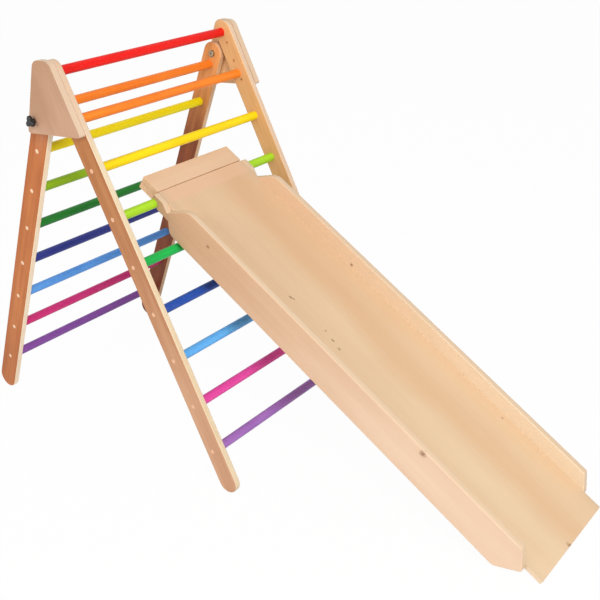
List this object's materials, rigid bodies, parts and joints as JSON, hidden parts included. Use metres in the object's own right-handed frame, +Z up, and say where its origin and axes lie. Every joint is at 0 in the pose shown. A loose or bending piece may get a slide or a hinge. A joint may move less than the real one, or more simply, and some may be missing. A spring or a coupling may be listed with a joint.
{
  "type": "folding climbing triangle",
  "caption": "Folding wooden climbing triangle with coloured rungs, gusset plates with lock knobs, and a plywood slide that hooks over a rung.",
  "frame": {"origin": "on the floor, in the middle of the footprint", "axes": "+X the way the slide runs down, +Y to the right for someone who faces the ladder with the slide, +Z up"},
  "size_m": [1.8006, 0.7102, 1.0783],
  "materials": {
    "rail_wood": "clear satin varnish on pale plywood",
    "plate_wood": "clear satin varnish on pale plywood",
    "slide_plywood": "clear satin varnish on pale plywood",
    "batten_wood": "planed solid wood",
    "plug_wood": "sanded end grain",
    "steel": "zinc plated",
    "brass": "turned",
    "knob_plastic": "fine moulded grain",
    "rung_orange": "satin paint on a turned wooden rung",
    "rung_yellow": "satin paint on a turned wooden rung",
    "rung_lime": "satin paint on a turned wooden rung",
    "rung_green": "satin paint on a turned wooden rung",
    "rung_dark_blue": "satin paint on a turned wooden rung",
    "rung_light_blue": "satin paint on a turned wooden rung",
    "rung_pink": "satin paint on a turned wooden rung",
    "rung_purple": "satin paint on a turned wooden rung",
    "rung_red": "satin paint on a turned wooden rung",
    "rung_leaf": "satin paint on a turned wooden rung",
    "rung_dark_green": "satin paint on a turned wooden rung"
  },
  "bodies": {
    "front_ladder": {"front_rail_left": "rail_wood", "front_rail_right": "rail_wood", "top_bar": "rung_red", "front_rung_1": "rung_orange", "front_rung_2": "rung_yellow", "front_rung_3": "rung_lime", "front_rung_4": "rung_green", "front_rung_5": "rung_dark_blue", "front_rung_6": "rung_light_blue", "front_rung_7": "rung_pink", "front_rung_8": "rung_purple", "gusset_plate_left": "plate_wood", "gusset_plate_right": "plate_wood", "front_rung_screws": "steel", "front_rung_plugs": "plug_wood", "plate_screws": "steel", "pivot_bolt_left": "steel", "pivot_bolt_right": "steel", "pivot_washers": "steel", "threaded_inserts": "brass"},
    "rear_ladder": {"rear_rail_left": "rail_wood", "rear_rail_right": "rail_wood", "rear_rung_1": "rung_orange", "rear_rung_2": "rung_yellow", "rear_rung_3": "rung_leaf", "rear_rung_4": "rung_dark_green", "rear_rung_5": "rung_dark_blue", "rear_rung_6": "rung_light_blue", "rear_rung_7": "rung_pink", "rear_rung_8": "rung_purple", "rear_rung_screws": "steel", "rear_rung_plugs": "plug_wood"},
    "knob_left": {"lock_knob_left": "knob_plastic", "lock_stud_left": "steel"},
    "knob_right": {"lock_knob_right": "knob_plastic", "lock_stud_right": "steel"},
    "slide": {"slide_bed": "slide_plywood", "slide_wall_left": "slide_plywood", "slide_wall_right": "slide_plywood", "hook_board": "slide_plywood", "hook_cleat": "batten_wood", "hook_batten": "batten_wood", "bed_batten_upper": "batten_wood", "bed_batten_middle": "batten_wood", "bed_batten_lower": "batten_wood", "slide_screws": "steel"}
  },
  "joints": [
    {"name": "fold", "type": "hinge", "parent": "front_ladder", "child": "rear_ladder", "pos_m": [-0.43819, 0, 0.9818], "axis": [0, -1, 0], "range_deg": [0, 49.5]},
    {"name": "knob_left_turn", "type": "hinge", "parent": "front_ladder", "child": "knob_left", "pos_m": [-0.46494, 0, 0.92256], "axis": [0, 1, 0], "continuous": true},
    {"name": "knob_right_turn", "type": "hinge", "parent": "front_ladder", "child": "knob_right", "pos_m": [-0.46494, 0, 0.92256], "axis": [0, 1, 0], "continuous": true},
    {"name": "slide_lift", "type": "slide", "parent": "front_ladder", "child": "slide", "axis": [0.5341, 0, 0.8454], "range_m": [0, 0.06]}
  ]
}
